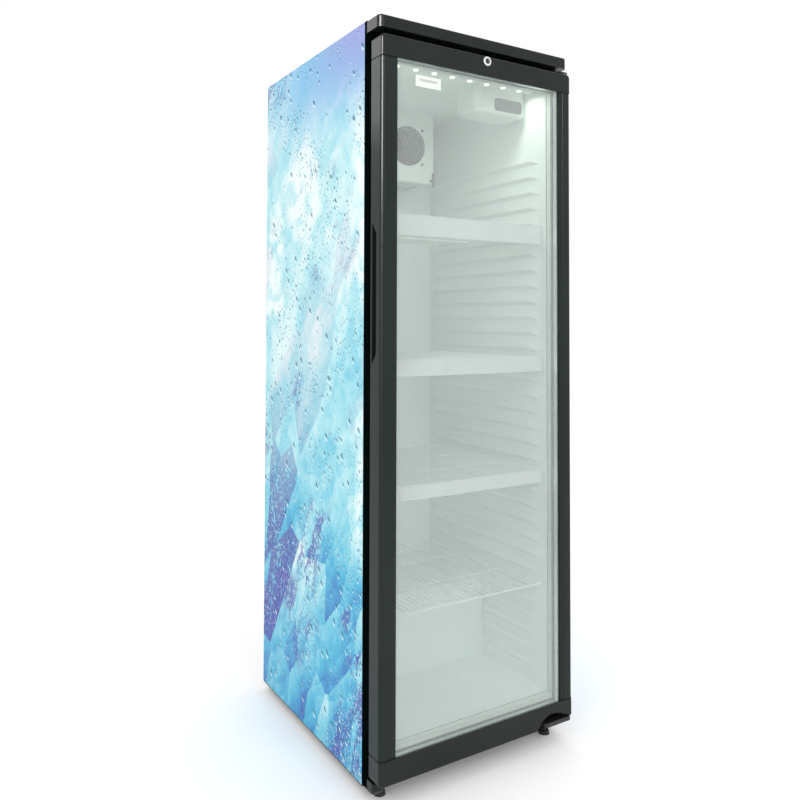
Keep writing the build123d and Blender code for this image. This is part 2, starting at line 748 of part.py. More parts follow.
def screws():
    """Visible screws of the cabinet: fan guard, hinge arms, grille and cover."""
    heads = []
    half = FAN_SCREWS / 2
    for x in (FAN_X - half, FAN_X + half):
        for z in (FAN_Z - half, FAN_Z + half):
            heads.append(screw_head((x, depth(COVER_FRONT), z), -1))
    for x in (262, 282):
        heads.append(screw_head((x, depth(FRAME_FRONT - 3), 1793.8), -1))
    for x in (240, 258):
        heads.append(screw_head((x, depth(FRAME_FRONT - 3), 38), -1))
    for x in (-286, 0, 286):
        for z in (56, 300):
            heads.append(screw_head((x, depth(GRILLE_BACK), z), 1))
    return heads


# Door ---------------------------------------------------------------------------------------

def stile_outline(sight, glass_edge):
    """Section of the right stile: front face, sloped bead, glass rebate, lips and back."""
    bead_out = sight + BEAD
    rebate = glass_edge + GLASS_FIT
    lip = sight - SIGHT_HALF + LIP_HALF
    recess = GASKET_OUT + GLASS_FIT
    return [
        (HALF, depth(STILE_DEPTH)),
        (HALF, depth(0)),
        (bead_out, depth(0)),
        (bead_out - 0.8, depth(1.4)),
        (sight + 1.5, depth(3.2)),
        (sight, depth(GLASS_FRONT)),
        (rebate, depth(GLASS_FRONT)),
        (rebate, depth(GLASS_BACK)),
        (lip, depth(GLASS_BACK)),
        (lip, depth(LIP_BACK)),
        (recess, depth(LIP_BACK)),
        (recess, depth(STILE_DEPTH)),
        (HALF - 7.5, depth(STILE_DEPTH)),
        (HALF - 7.5, depth(REAR_LIP)),
        (HALF - 1, depth(REAR_LIP)),
        (HALF - 1, depth(STILE_DEPTH)),
    ]


def joint_groove(low):
    """Material to cut from a stile's end, so that a shadow line parts it from its cap."""
    z = (low, low + JOINT_GROOVE)
    outside = block((HALF - 60, HALF + 1), depth(-1, REAR_LIP + 1), z)
    return outside - block((HALF - 61, HALF - JOINT_DEPTH), depth(JOINT_DEPTH, REAR_LIP + 1), z)


def door_stile(middle):
    """Right stile for a pane whose middle is off the door's middle by a distance."""
    stile = prism_z(stile_outline(middle + SIGHT_HALF, middle + GLASS_HALF), LOW_CAP_TOP, TOP_CAP_LOW)
    outer = stile.edges().filter_by(Axis.Z).filter_by_position(Axis.X, HALF - 0.1, HALF + 0.1)
    stile = fillet(outer.sort_by(Axis.Y)[0], STILE_ROUND)
    return stile - joint_groove(LOW_CAP_TOP) - joint_groove(TOP_CAP_LOW - JOINT_GROOVE)


def door_stile_right():
    return door_stile(GLASS_MIDDLE)


def door_stile_left():
    """Handle stile, with the finger pocket in its outer side."""
    near, far = depth(GRIP_FRONT, GRIP_BACK)
    pocket = [
        (near, GRIP_LOW + GRIP_SLOPE),
        (near, GRIP_HIGH - GRIP_SLOPE),
        (far, GRIP_HIGH),
        (far, GRIP_LOW),
    ]
    return mirror(door_stile(-GLASS_MIDDLE), Plane.YZ) - prism_x(pocket, -HALF - 1, -HALF + GRIP_REACH)


def framed_glass(half, low, high):
    """X and Z limits of a rectangle that has the pane's middle."""
    return (GLASS_MIDDLE - half, GLASS_MIDDLE + half), (low, high)


def cap_body(z, corner_z):
    """Moulded end cap blank with rounded outer corners, a seat for the glass and a sloped lip."""
    cap = block((-HALF, HALF), depth(0, CAP_DEPTH), z)
    corners = cap.edges().filter_by(Axis.Y).filter_by_position(Axis.Z, corner_z - 0.1, corner_z + 0.1)
    cap = fillet(corners, 11)
    inner_z = sum(z) - corner_z
    rim = [edge for edge in cap.edges().group_by(Axis.Y)[0] if abs(edge.center().Z - inner_z) > 0.1]
    cap = fillet(rim, 5)
    seat_x, seat_z = framed_glass(GLASS_HALF + GLASS_FIT, GLASS_LOW - GLASS_FIT, GLASS_HIGH + GLASS_FIT)
    cap -= block(seat_x, depth(GLASS_FRONT, GLASS_BACK), seat_z)
    lip_x, lip_z = framed_glass(LIP_HALF, LIP_LOW, LIP_HIGH)
    cap -= block(lip_x, depth(GLASS_BACK, CAP_DEPTH + 1), lip_z)
    recess = GASKET_OUT + GLASS_FIT
    recess_z = (GASKET_LOW - GLASS_FIT, GASKET_HIGH + GLASS_FIT)
    cap -= block((-recess, recess), depth(LIP_BACK, CAP_DEPTH + 1), recess_z)
    inward = CAP_SLOPE if corner_z > inner_z else -CAP_SLOPE
    slope = [(depth(0), inner_z), (depth(GLASS_FRONT), inner_z), (depth(GLASS_FRONT), inner_z + inward)]
    sight_x = framed_glass(SIGHT_HALF, 0, 0)[0]
    return cap - prism_x(slope, *sight_x)


def hinge_socket(low, high):
    place = (HINGE_X, depth(HINGE_DEPTH))
    return bar((*place, low), (*place, high), BUSH_RADIUS)


def door_top_cap():
    """Top cap with the hinge socket and the lock's seat."""
    cap = cap_body((TOP_CAP_LOW, DOOR_TOP), DOOR_TOP)
    cap -= hinge_socket(DOOR_TOP - 26, DOOR_TOP + 1)
    cap -= bar((LOCK_X, depth(-1), LOCK_Z), (LOCK_X, depth(BARREL_BACK), LOCK_Z), BARREL_RADIUS)
    tongue_y = depth(BARREL_BACK, LIP_BACK)
    cap -= block((LOCK_X - 28, LOCK_X + 11), tongue_y, (LOCK_Z - 10, DOOR_TOP + 1))
    return cap


def door_bottom_cap():
    """Bottom cap with the arch that the hinge arm reaches under, open to the right and the back."""
    cap = cap_body((DOOR_LOW, LOW_CAP_TOP), DOOR_LOW)
    arch = Spline((177, DOOR_LOW - 1), (194, 76), (228, 87), (268, 77), (HALF + 1, 66))
    ends = Polyline((HALF + 1, 66), (HALF + 1, DOOR_LOW - 1), (177, DOOR_LOW - 1))
    plane = Plane((0, depth(CAP_DEPTH + 1), 0), x_dir=(1, 0, 0), z_dir=(0, -1, 0))
    cap -= extrude(plane * make_face(arch + ends), CAP_DEPTH + 2)
    return cap - hinge_socket(DOOR_LOW, LOWER_BUSH[1])


def hinge_bushes():
    """Bushes in the caps that turn on the hinge pins."""
    place = (HINGE_X, depth(HINGE_DEPTH))
    inner = PIN_RADIUS + RUNNING_GAP
    top = tube((*place, DOOR_TOP - 26), (*place, DOOR_TOP), BUSH_RADIUS, inner)
    bottom = tube((*place, LOWER_BUSH[0]), (*place, LOWER_BUSH[1]), BUSH_RADIUS, inner)
    return [top, bottom]


def glass_pane(front):
    pane_x, pane_z = framed_glass(GLASS_HALF, GLASS_LOW, GLASS_HIGH)
    pane = block(pane_x, depth(front, front + PANE), pane_z)
    return chamfer(pane.edges().filter_by(Axis.Y), 1.5)


def glass_spacer():
    """Aluminium spacer between the two panes."""
    y = depth(GLASS_FRONT + PANE, GLASS_FRONT + PANE + CAVITY)
    outer_x, outer_z = framed_glass(GLASS_HALF - 2, GLASS_LOW + 2, GLASS_HIGH - 2)
    inner_x, inner_z = framed_glass(SPACER_HALF, SPACER_LOW, SPACER_HIGH)
    return block(outer_x, y, outer_z) - block(inner_x, y, inner_z)


def door_gasket():
    """Magnetic gasket around the back of the door."""
    y = depth(LIP_BACK, GASKET_DEPTH)
    gasket = rounded((-GASKET_OUT, GASKET_OUT), y, (GASKET_LOW, GASKET_HIGH), Axis.Y, 8)
    inner_z = (ROOM_LOW - LINER + 0.5, ROOM_TOP + LINER - 0.5)
    gasket -= block((-GASKET_IN, GASKET_IN), y, inner_z)
    return fillet(gasket.edges().group_by(Axis.Y)[-1], 3)


# Lock ---------------------------------------------------------------------------------------

def lock_body():
    """Barrel and bezel that hold the lock's core."""
    axis = [(LOCK_X, y, LOCK_Z) for y in depth(-LOCK_PROUD, 0, BARREL_BACK)]
    bezel = bar(axis[0], axis[1], BEZEL_RADIUS)
    bezel = fillet(bezel.edges().sort_by(Axis.Y)[0], 1.2)
    body = bar(axis[1], axis[2], BARREL_RADIUS) + bezel
    bore = [(LOCK_X, y, LOCK_Z) for y in depth(-5, 30)]
    return body - bar(*bore, CORE_RADIUS + RUNNING_GAP)


def lock_cylinder():
    """Turning core with its keyway and the tongue that swings up to lock."""
    core = bar((LOCK_X, depth(-1.2), LOCK_Z), (LOCK_X, depth(TONGUE_DEPTHS[0]), LOCK_Z), CORE_RADIUS)
    keyway_x = (LOCK_X - KEYWAY_HALF[0], LOCK_X + KEYWAY_HALF[0])
    keyway_z = (LOCK_Z - KEYWAY_HALF[1], LOCK_Z + KEYWAY_HALF[1])
    core -= rounded(keyway_x, depth(-3, 8), keyway_z, Axis.Y, 1.2)
    tongue_x = (LOCK_X - TONGUE_LENGTH, LOCK_X + CORE_RADIUS)
    tongue_z = (LOCK_Z - TONGUE_HALF, LOCK_Z + TONGUE_HALF)
    tongue = rounded(tongue_x, depth(*TONGUE_DEPTHS), tongue_z, Axis.Y, 4)
    return core + tongue


def save(name, shape):
    """Write one node, which may be a group of separate solids."""
    solids = shape if isinstance(shape, list) else [shape]
    parts = [solid for item in solids for solid in item.solids()]
    node = parts[0] if len(parts) == 1 else Compound(children=parts)
    node.label = name
    export_step(node, f"parts/{name}.step")


def main():
    os.makedirs("parts", exist_ok=True)
    paired_sheets = {"side_panel": side_panel(), "wrap": side_wrap()}
    for name, shape in paired_sheets.items():
        save(f"{name}_right", shape)
        save(f"{name}_left", mirror(shape, Plane.YZ))
    shelf = wire_shelf()
    for level in range(len(SHELF_RIBS)):
        save(f"shelf_{level + 1}", Pos(0, 0, shelf_rest(level)) * shelf)
    save("ticket_strips", [ticket_strip(level) for level in range(len(STRIP_HEIGHTS))])
    for number, place in enumerate(foot_places(), start=1):
        save(f"levelling_foot_{number}", levelling_foot(place))
    save("glass_outer", glass_pane(GLASS_FRONT))
    save("glass_inner", glass_pane(GLASS_FRONT + PANE + CAVITY))
    whole_nodes = [
        top_panel, back_panel, base_plate, foam_insulation, inner_liner, front_frame, top_cap,
        base_corner, top_hinge_bracket, bottom_hinge_bracket, lock_keeper, foot_bushes,
        evaporator_cover, evaporator_coil, evaporator_fan_frame, evaporator_fan_guard,
        evaporator_fan_rotor, drip_tray, drain_tube, temperature_probe, led_housing, led_lenses,
        controller_housing, controller_display, compressor, compressor_mounts, condenser_coil,
        condenser_fan_frame, condenser_fan_rotor, filter_drier, refrigerant_pipes,
        condensate_tray, rear_grille, cord_gland, screws, door_stile_left, door_stile_right,
        door_top_cap, door_bottom_cap, hinge_bushes, glass_spacer, door_gasket, lock_body, lock_cylinder,
    ]
    for make in whole_nodes:
        save(make.__name__, make())


main()
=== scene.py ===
import math

import bmesh
import bpy
from mathutils import Matrix, Vector


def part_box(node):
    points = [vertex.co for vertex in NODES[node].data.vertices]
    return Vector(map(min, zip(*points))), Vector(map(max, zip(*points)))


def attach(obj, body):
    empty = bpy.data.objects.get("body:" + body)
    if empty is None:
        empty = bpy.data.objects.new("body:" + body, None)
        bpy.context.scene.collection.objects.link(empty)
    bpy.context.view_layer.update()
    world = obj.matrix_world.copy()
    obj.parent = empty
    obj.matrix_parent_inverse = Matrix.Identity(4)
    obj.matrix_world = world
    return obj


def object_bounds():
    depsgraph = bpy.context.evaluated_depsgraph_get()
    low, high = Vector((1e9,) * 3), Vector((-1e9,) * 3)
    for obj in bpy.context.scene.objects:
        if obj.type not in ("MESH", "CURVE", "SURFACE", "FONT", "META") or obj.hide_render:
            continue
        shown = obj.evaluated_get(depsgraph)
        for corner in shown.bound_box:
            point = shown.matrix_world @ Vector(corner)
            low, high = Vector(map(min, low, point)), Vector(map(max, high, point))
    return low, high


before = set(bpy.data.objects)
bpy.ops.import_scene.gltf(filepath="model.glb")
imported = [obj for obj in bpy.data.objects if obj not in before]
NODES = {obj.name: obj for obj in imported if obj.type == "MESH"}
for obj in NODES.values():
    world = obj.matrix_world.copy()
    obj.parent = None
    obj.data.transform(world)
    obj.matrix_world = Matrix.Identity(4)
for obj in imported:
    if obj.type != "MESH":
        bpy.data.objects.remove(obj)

# Glass door merchandiser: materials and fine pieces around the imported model, in metres.
# X runs to the right, Y to the back and Z up. A material reads the place of a point in this frame.

LOW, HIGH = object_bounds()
GLASS_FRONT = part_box("glass_outer")[0].y

# Label on the glass: its middle in X and Z, its size, and the bar printed on it
LABEL_MIDDLE = (-0.162, 1.686)
LABEL_SIZE = (0.074, 0.028)
LABEL_CORNER = 0.002
LABEL_THICK = 0.0003
LABEL_BAR = (0.026, 0.0032)
LABEL_BAR_RISE = 0.003
LABEL_BAR_EDGE = (0.0005, 0.0004)
LABEL_BAR_INK = 0.55

# Camera: angles in degrees
CAMERA_PLACE = (-1.188, -1.849, 1.111)
CAMERA_YAW = 31.29
CAMERA_PITCH = 1.64
CAMERA_ROLL = 0.19
CAMERA_SENSOR = 36.0
CAMERA_LENS = 34.32
CAMERA_SHIFT = (0.0125, -0.1264)

# Stage: each soft box has its place, what it faces, its size and its power
FLOOR_HALF = 30
FLOOR_GLOW = 0.09
KEY = ((-2.9, -2.4, 2.1), (-0.3, -0.3, 1.5), (1.2, 2.2), 26)
FILL = ((0.1, -3.3, 2.6), (0, 0, 0.9), (1.3, 1.6), 20)
EDGE_AIM = (-0.3, -0.3, 1.5)
EDGE_BOXES = {
    "edge_box_high": ((-2.7, -2.3, 2.75), EDGE_AIM, (2.1, 1.5), 420),
    "edge_box_low": ((-2.7, -2.3, 1.25), EDGE_AIM, (2.1, 1.4), 18),
    "side_box": ((-2.4, 3.1, 3.3), EDGE_AIM, (1.6, 1.5), 16),
}
LAMP_BAR = ((0, LOW.y + 0.10, 1.738), (0, -0.17, 0.2), (0.46, 0.03), 0.85)
LAMP_BAR_COLOUR = (0.97, 1.0, 0.90)
LIT_BY_EDGE_BOXES = [
    "top_cap", "front_frame", "door_stile_left", "door_stile_right", "door_top_cap", "door_bottom_cap",
]
SHADED_FROM_LAMP_BAR = ["controller_housing", "controller_display"]

# Haze of the two panes as a share of white, softening of the liner's edges, glow of the lamps
HAZE_FRONT = 0.105
HAZE_REAR = 0.030
LINER_ROUND = 0.0022
LENS_GLOW = 1.1


# Node helpers ---------------------------------------------------------------------------------

class Surface:
    """A Principled material, with short calls for the nodes that feed it."""

    def __init__(self, name, **settings):
        self.material = bpy.data.materials.new(name)
        self.material.use_nodes = True
        self.tree = self.material.node_tree
        self.shader = next(node for node in self.tree.nodes if node.type == "BSDF_PRINCIPLED")
        self.output = next(node for node in self.tree.nodes if node.type == "OUTPUT_MATERIAL")
        for socket, value in settings.items():
            self.set(socket.replace("_", " ").title().replace("Ior", "IOR"), value)

    def set(self, socket, value):
        self.feed(self.shader.inputs[socket], value)

    def feed(self, socket, value):
        if isinstance(value, bpy.types.NodeSocket):
            self.tree.links.new(value, socket)
        else:
            socket.default_value = value

    def add(self, kind, inputs=(), output=0, **options):
        node = self.tree.nodes.new("ShaderNode" + kind)
        for option, value in options.items():
            setattr(node, option, value)
        for socket, value in dict(inputs).items():
            self.feed(node.inputs[socket], value)
        return node.outputs[output]

    def place(self):
        """The point in the row frame, in metres."""
        return self.add("TexCoord", output="Object")

    def parts(self, vector):
        node = self.tree.nodes.new("ShaderNodeSeparateXYZ")
        self.feed(node.inputs[0], vector)
        return node.outputs

    def joined(self, x, y, z):
        return self.add("CombineXYZ", {0: x, 1: y, 2: z})

    def math(self, operation, a, b=0.0, clamp=False):
        return self.add("Math", {0: a, 1: b}, operation=operation, use_clamp=clamp)

    def vector(self, operation, a, b=(0, 0, 0), output=0):
        return self.add("VectorMath", {0: a, 1: b}, output=output, operation=operation)

    def stretched(self, vector, scale, turn=(0, 0, 0)):
        return self.add("Mapping", {"Vector": vector, "Scale": scale, "Rotation": turn})

    def slanted(self, vector, turn, scale):
        """A vector turned about its third axis and then stretched."""
        return self.stretched(self.stretched(vector, (1, 1, 1), (0, 0, turn)), scale)

    def noise(self, vector, scale, detail=3.0, rough=0.5, output=0):
        inputs = {"Vector": vector, "Scale": scale, "Detail": detail, "Roughness": rough}
        return self.add("TexNoise", inputs, output=output)

    def cells(self, vector, scale, output="Distance"):
        return self.add("TexVoronoi", {"Vector": vector, "Scale": scale}, output=output)

    def span(self, value, low, high, out_low=0.0, out_high=1.0):
        """value's stretch from low to high, smoothed and carried to another stretch."""
        inputs = {"Value": value, 1: low, 2: high, 3: out_low, 4: out_high}
        return self.add("MapRange", inputs, interpolation_type="SMOOTHSTEP")

    def ramp(self, factor, stops):
        node = self.tree.nodes.new("ShaderNodeValToRGB")
        self.feed(node.inputs[0], factor)
        points = node.color_ramp.elements
        while len(points) < len(stops):
            points.new(0.5)
        for point, (position, colour) in zip(points, stops):
            point.position = position
            point.color = (*colour, 1.0)
        return node.outputs[0]

    def tint(self, tone, low, high, start=0.3, stop=0.7):
        """Colour that runs from one shade to another as a tone rises."""
        self.set("Base Color", self.ramp(tone, [(start, low), (stop, high)]))

    def mix(self, factor, a, b):
        """Colour between a and b; the node's colour sockets are the 7th and the 8th."""
        node = self.tree.nodes.new("ShaderNodeMix")
        node.data_type = "RGBA"
        node.blend_type = "MIX"
        self.feed(node.inputs[0], factor)
        for index, colour in ((6, a), (7, b)):
            fixed = not isinstance(colour, bpy.types.NodeSocket)
            self.feed(node.inputs[index], (*colour, 1.0) if fixed else colour)
        return node.outputs[2]

    def bump(self, height, strength, distance):
        inputs = {"Height": height, "Strength": strength, "Distance": distance}
        self.set("Normal", self.add("Bump", inputs, output="Normal"))

    def cover(self, *names):
        """Give this material to CAD nodes or to pieces."""
        for name in names:
            target = NODES.get(name) or bpy.data.objects[name]
            target.data.materials.clear()
            target.data.materials.append(self.material)
        return self


# Materials ------------------------------------------------------------------------------------

def moulded_black():
    """Charcoal moulded plastic with a fine grain and faint handling marks."""
    skin = Surface("moulded_charcoal", roughness=0.22, specular_ior_level=0.2)
    place = skin.place()
    tone = skin.noise(place, 9.0, 4.0)
    skin.tint(tone, (0.0095, 0.0130, 0.0105), (0.0130, 0.0170, 0.0140))
    marks = skin.noise(place, 34.0, 5.0, 0.6)
    skin.set("Roughness", skin.span(marks, 0.35, 0.75, 0.19, 0.27))
    skin.bump(skin.noise(place, 1500.0, 2.0), 0.02, 0.0002)
    return skin


def black_frame_with_gap_shade():
    """Matt black plastic of the frame behind the door, given almost no colour and no reflection as painted
    shade for the recessed gap beside the door.
    """
    skin = Surface("frame_black_gap_shade", roughness=0.6, specular_ior_level=0.0)
    place = skin.place()
    tone = skin.noise(place, 14.0, 4.0)
    skin.tint(tone, (0.0010, 0.0022, 0.0022), (0.0016, 0.0034, 0.0034))
    skin.set("Roughness", skin.span(skin.noise(place, 60.0, 4.0), 0.3, 0.7, 0.5, 0.68))
    skin.bump(skin.noise(place, 1200.0, 2.0), 0.05, 0.0002)
    return skin


def painted_stile():
    """Satin charcoal paint on an extruded profile."""
    skin = Surface("stile_charcoal", roughness=0.2, specular_ior_level=0.17)
    place = skin.place()
    tone = skin.noise(skin.stretched(place, (1, 1, 0.4)), 7.0, 3.0)
    skin.tint(tone, (0.0105, 0.0165, 0.0150), (0.0140, 0.0205, 0.0190), 0.3, 0.75)
    skin.set("Roughness", skin.span(skin.noise(place, 20.0, 3.0), 0.3, 0.7, 0.17, 0.23))
    skin.bump(skin.noise(place, 1300.0, 2.0), 0.015, 0.0002)
    return skin


def drops(film, plane, size, share, colour):
    """A printed layer of water drops: dark bodies with a small light on the low side."""
    scale = 1.0 / size
    centre = film.cells(plane, scale, "Position")
    chance = film.parts(film.cells(plane, scale, "Color"))
    offset = film.vector("SUBTRACT", plane, centre)
    offset = film.vector("MULTIPLY", offset, (1.0, 0.5, 0.0))
    distance = film.math("MULTIPLY", film.vector("LENGTH", offset, output=1), scale)
    radius = film.span(chance[0], 0.0, 1.0, 0.06, 0.2)
    inside = film.math("DIVIDE", film.math("SUBTRACT", radius, distance), 0.06, clamp=True)
    wanted = film.math("LESS_THAN", chance[1], share)
    shown = film.math("MULTIPLY", film.math("MULTIPLY", inside, wanted), 0.8)
    lit = film.vector("DOT_PRODUCT", offset, (0.62, -0.78, 0.0), output=1)
    lit = film.math("DIVIDE", film.math("MULTIPLY", lit, scale), radius)
    shade = film.ramp(
        film.span(lit, -0.9, 0.9),
        [
            (0.0, (0.01, 0.07, 0.14)),
            (0.55, (0.04, 0.22, 0.34)),
            (0.72, (0.35, 0.66, 0.74)),
            (0.88, (0.86, 0.93, 0.94)),
        ],
    )
    return film.mix(shown, colour, shade)


def zone(film, y, z, centre, reach):
    """An oval patch of the film: 1 at its centre and 0 outside its reach."""
    across = film.math("DIVIDE", film.math("SUBTRACT", y, centre[0]), reach[0])
    up = film.math("DIVIDE", film.math("SUBTRACT", z, centre[1]), reach[1])
    square = film.math("ADD", film.math("MULTIPLY", across, across), film.math("MULTIPLY", up, up))
    return film.span(square, 1.0, 0.1)


def any_zone(film, y, z, patches):
    whole = 0.0
    for centre, reach in patches:
        whole = film.math("MAXIMUM", zone(film, y, z, centre, reach), whole)
    return whole


def facets(film, plane, scale):
    """Ice facets: each cell has its own tone and a slope of light across it, around 0."""
    centre = film.cells(plane, scale, "Position")
    chance = film.parts(film.cells(plane, scale, "Color"))
    across = film.vector("SUBTRACT", plane, centre)
    slope = film.vector("DOT_PRODUCT", across, (0.5 * scale, 0.35 * scale, 0.0), output=1)
    return film.math("ADD", film.math("SUBTRACT", chance[0], 0.5), slope)


WHITE_PATCHES = [
    ((-0.26, 1.55), (0.05, 0.16)),
    ((-0.26, 1.26), (0.04, 0.12)),
    ((-0.26, 0.66), (0.05, 0.20)),
    ((0.31, 1.16), (0.12, 0.05)),
    ((0.08, 1.47), (0.13, 0.17)),
    ((0.28, 1.30), (0.08, 0.20)),
]


def ice_film():
    """Printed film with a generic picture of lit ice and water drops."""
    film = Surface("ice_film", roughness=0.25, specular_ior_level=0.12)
    x, y, z = film.parts(film.place())
    plane = film.joined(y, z, 0.0)
    waver = film.noise(plane, 9.0, 5.0, 0.65, output="Color")
    bent = film.vector("ADD", plane, film.vector("MULTIPLY", waver, (0.07, 0.11, 0.0)))
    cloud = film.noise(film.slanted(bent, -0.5, (1.5, 0.8, 1.0)), 4.2, 6.0, 0.6)
    wash = film.noise(film.slanted(bent, 0.4, (2.4, 1.0, 1.0)), 11.0, 5.0, 0.65)
    low_part = film.span(z, 0.85, 0.25)
    shaken = film.vector("ADD", plane, film.vector("MULTIPLY", waver, (0.018, 0.03, 0.0)))
    shard_plane = film.slanted(shaken, -0.5, (2.1, 0.9, 1.0))
    shards = facets(film, shard_plane, 4.4)
    splinters = facets(film, film.slanted(bent, -0.75, (2.6, 0.9, 1.0)), 10.0)
    tone = film.span(z, 0.0, 1.2, 0.36, 0.80)
    tone = film.math("ADD", tone, film.math("MULTIPLY", film.math("SUBTRACT", cloud, 0.5), 0.85))
    tone = film.math("ADD", tone, film.math("MULTIPLY", film.math("SUBTRACT", wash, 0.5), 0.40))
    for cuts, share in ((shards, (0.06, 0.40)), (splinters, (0.08, 0.14))):
        strength = film.span(low_part, 0.0, 1.0, *share)
        tone = film.math("ADD", tone, film.math("MULTIPLY", cuts, strength))
    white = any_zone(film, y, z, WHITE_PATCHES)
    white = film.math("MULTIPLY", white, film.span(film.noise(bent, 14.0, 4.0, 0.6), 0.38, 0.56))
    tone = film.math("ADD", tone, film.math("MULTIPLY", white, 0.26))
    ice = film.ramp(
        tone,
        [
            (0.02, (0.050, 0.095, 0.38)),
            (0.18, (0.050, 0.25, 0.54)),
            (0.36, (0.070, 0.42, 0.63)),
            (0.54, (0.20, 0.57, 0.70)),
            (0.74, (0.42, 0.72, 0.77)),
            (0.98, (0.78, 0.87, 0.86)),
        ],
    )
    streak = film.noise(film.slanted(bent, -0.42, (26.0, 5.0, 1.0)), 1.0, 6.0, 0.7)
    grain = film.noise(film.stretched(plane, (1.0, 0.7, 1.0)), 95.0, 4.0, 0.7)
    chosen = film.parts(film.cells(shard_plane, 4.4, "Color"))[1]
    where = film.noise(plane, 3.1, 2.0)
    violet = film.span(film.math("ADD", where, film.span(z, 0.3, 1.2, 0.03, -0.07)), 0.49, 0.60)
    ragged = film.math("ADD", streak, film.math("MULTIPLY", film.math("SUBTRACT", grain, 0.5), 0.5))
    ragged = film.span(ragged, 0.49, 0.54)
    torn = film.math("MULTIPLY", film.math("MULTIPLY", violet, ragged), 0.8)
    ice = film.mix(torn, ice, (0.075, 0.085, 0.36))
    slab = film.math("GREATER_THAN", chosen, 0.80)
    slab = film.math("MULTIPLY", slab, film.span(z, 0.95, 0.45, 0.15, 0.85))
    speckle = film.math("ADD", grain, film.math("MULTIPLY", wash, 0.6))
    slab = film.math("MULTIPLY", slab, film.span(speckle, 0.66, 0.76))
    ice = film.mix(slab, ice, (0.060, 0.060, 0.34))
    sparkle = film.noise(film.stretched(plane, (1.0, 0.6, 1.0)), 130.0, 3.0, 0.7)
    sparkle = film.span(sparkle, 0.58, 0.63)
    sparkle = film.math("MULTIPLY", film.math("MULTIPLY", violet, sparkle), 0.75)
    ice = film.mix(sparkle, ice, (0.74, 0.83, 0.85))
    upper = film.math("MULTIPLY", film.span(z, 1.52, 1.78), film.span(y, 0.36, 0.05, 0.25, 0.9))
    ice = film.mix(upper, ice, (0.19, 0.46, 0.72))
    corner = film.math("MULTIPLY", film.span(z, 1.62, 1.84), film.span(y, 0.12, -0.26))
    ice = film.mix(corner, ice, (0.31, 0.34, 0.66))
    clusters = film.span(film.noise(plane, 5.0, 3.0), 0.44, 0.58)
    lean = film.stretched(plane, (1, 1, 1), (0, 0, 0.4))
    ice = drops(film, lean, 0.034, 0.26, ice)
    fine = drops(film, film.vector("ADD", lean, (0.37, 0.21, 0.0)), 0.021, 0.55, ice)
    fine = drops(film, film.vector("ADD", lean, (0.11, 0.53, 0.0)), 0.014, 0.7, fine)
    film.set("Base Color", film.mix(clusters, ice, fine))
    film.bump(film.noise(plane, 380.0, 2.0), 0.02, 0.0002)
    return film


def white_liner():
    """Thermoformed white plastic, faintly uneven and slightly green."""
    skin = Surface("liner_white", roughness=0.35, specular_ior_level=0.12)
    place = skin.place()
    tone = skin.noise(place, 6.0, 3.0)
    skin.tint(tone, (0.79, 0.86, 0.845), (0.84, 0.89, 0.875))
    skin.set("Roughness", skin.span(skin.noise(place, 30.0, 4.0), 0.3, 0.7, 0.3, 0.45))
    skin.bump(skin.noise(place, 22.0, 2.0), 0.05, 0.0006)
    return skin


def white_moulding():
    """Smooth white moulded plastic of the covers and housings."""
    skin = Surface("cover_white", roughness=0.3, specular_ior_level=0.12)
    place = skin.place()
    skin.tint(skin.noise(place, 12.0, 3.0), (0.74, 0.79, 0.775), (0.79, 0.83, 0.81))
    skin.set("Roughness", skin.span(skin.noise(place, 60.0, 4.0), 0.3, 0.7, 0.26, 0.4))
    skin.bump(skin.noise(place, 900.0, 2.0), 0.05, 0.0003)
    return skin


def steel_sheet(name, low, high, rough, streak):
    """Sheet steel with spangle or paint, and faint rolling streaks."""
    skin = Surface(name, metallic=rough[2], roughness=rough[0])
    place = skin.place()
    spangle = skin.parts(skin.cells(place, 55.0, "Color"))[0]
    lines = skin.noise(skin.stretched(place, streak), 1.0, 3.0)
    tone = skin.math("ADD", skin.math("MULTIPLY", spangle, 0.5), skin.math("MULTIPLY", lines, 0.5))
    skin.tint(tone, low, high, 0.2, 0.8)
    skin.set("Roughness", skin.span(tone, 0.2, 0.8, rough[0], rough[1]))
    skin.bump(lines, 0.04, 0.0003)
    return skin


def bright_metal(name, low, high):
    """Plated metal with fine scratches."""
    skin = Surface(name, metallic=1.0, roughness=0.16)
    place = skin.place()
    scratch = skin.noise(skin.stretched(place, (2600, 300, 300)), 1.0, 4.0)
    skin.tint(scratch, low, high)
    skin.set("Roughness", skin.span(scratch, 0.3, 0.7, 0.12, 0.3))
    return skin


def fin_metal(name, low, high):
    """Thin aluminium, dulled in patches."""
    skin = Surface(name, metallic=1.0, roughness=0.35)
    place = skin.place()
    dull = skin.noise(place, 70.0, 5.0)
    skin.tint(dull, low, high)
    skin.set("Roughness", skin.span(dull, 0.3, 0.7, 0.28, 0.5))
    return skin


def copper_pipe():
    """Bare copper, browned in patches."""
    skin = Surface("copper", metallic=1.0, roughness=0.3)
    place = skin.place()
    stain = skin.noise(place, 60.0, 5.0)
    skin.tint(stain, (0.42, 0.20, 0.11), (0.80, 0.45, 0.30), 0.35, 0.65)
    skin.set("Roughness", skin.span(stain, 0.35, 0.65, 0.5, 0.25))
    return skin


def matt_black(name, colour, rough):
    """Dull black plastic, rubber or enamel with a fine skin."""
    skin = Surface(name, roughness=rough)
    place = skin.place()
    pale = tuple(value * 1.7 for value in colour)
    skin.tint(skin.noise(place, 40.0, 4.0), colour, pale, 0.3, 0.75)
    skin.set("Roughness", skin.span(skin.noise(place, 120.0, 4.0), 0.3, 0.7, rough - 0.08, rough + 0.08))
    skin.bump(skin.noise(place, 700.0, 3.0), 0.15, 0.0004)
    return skin


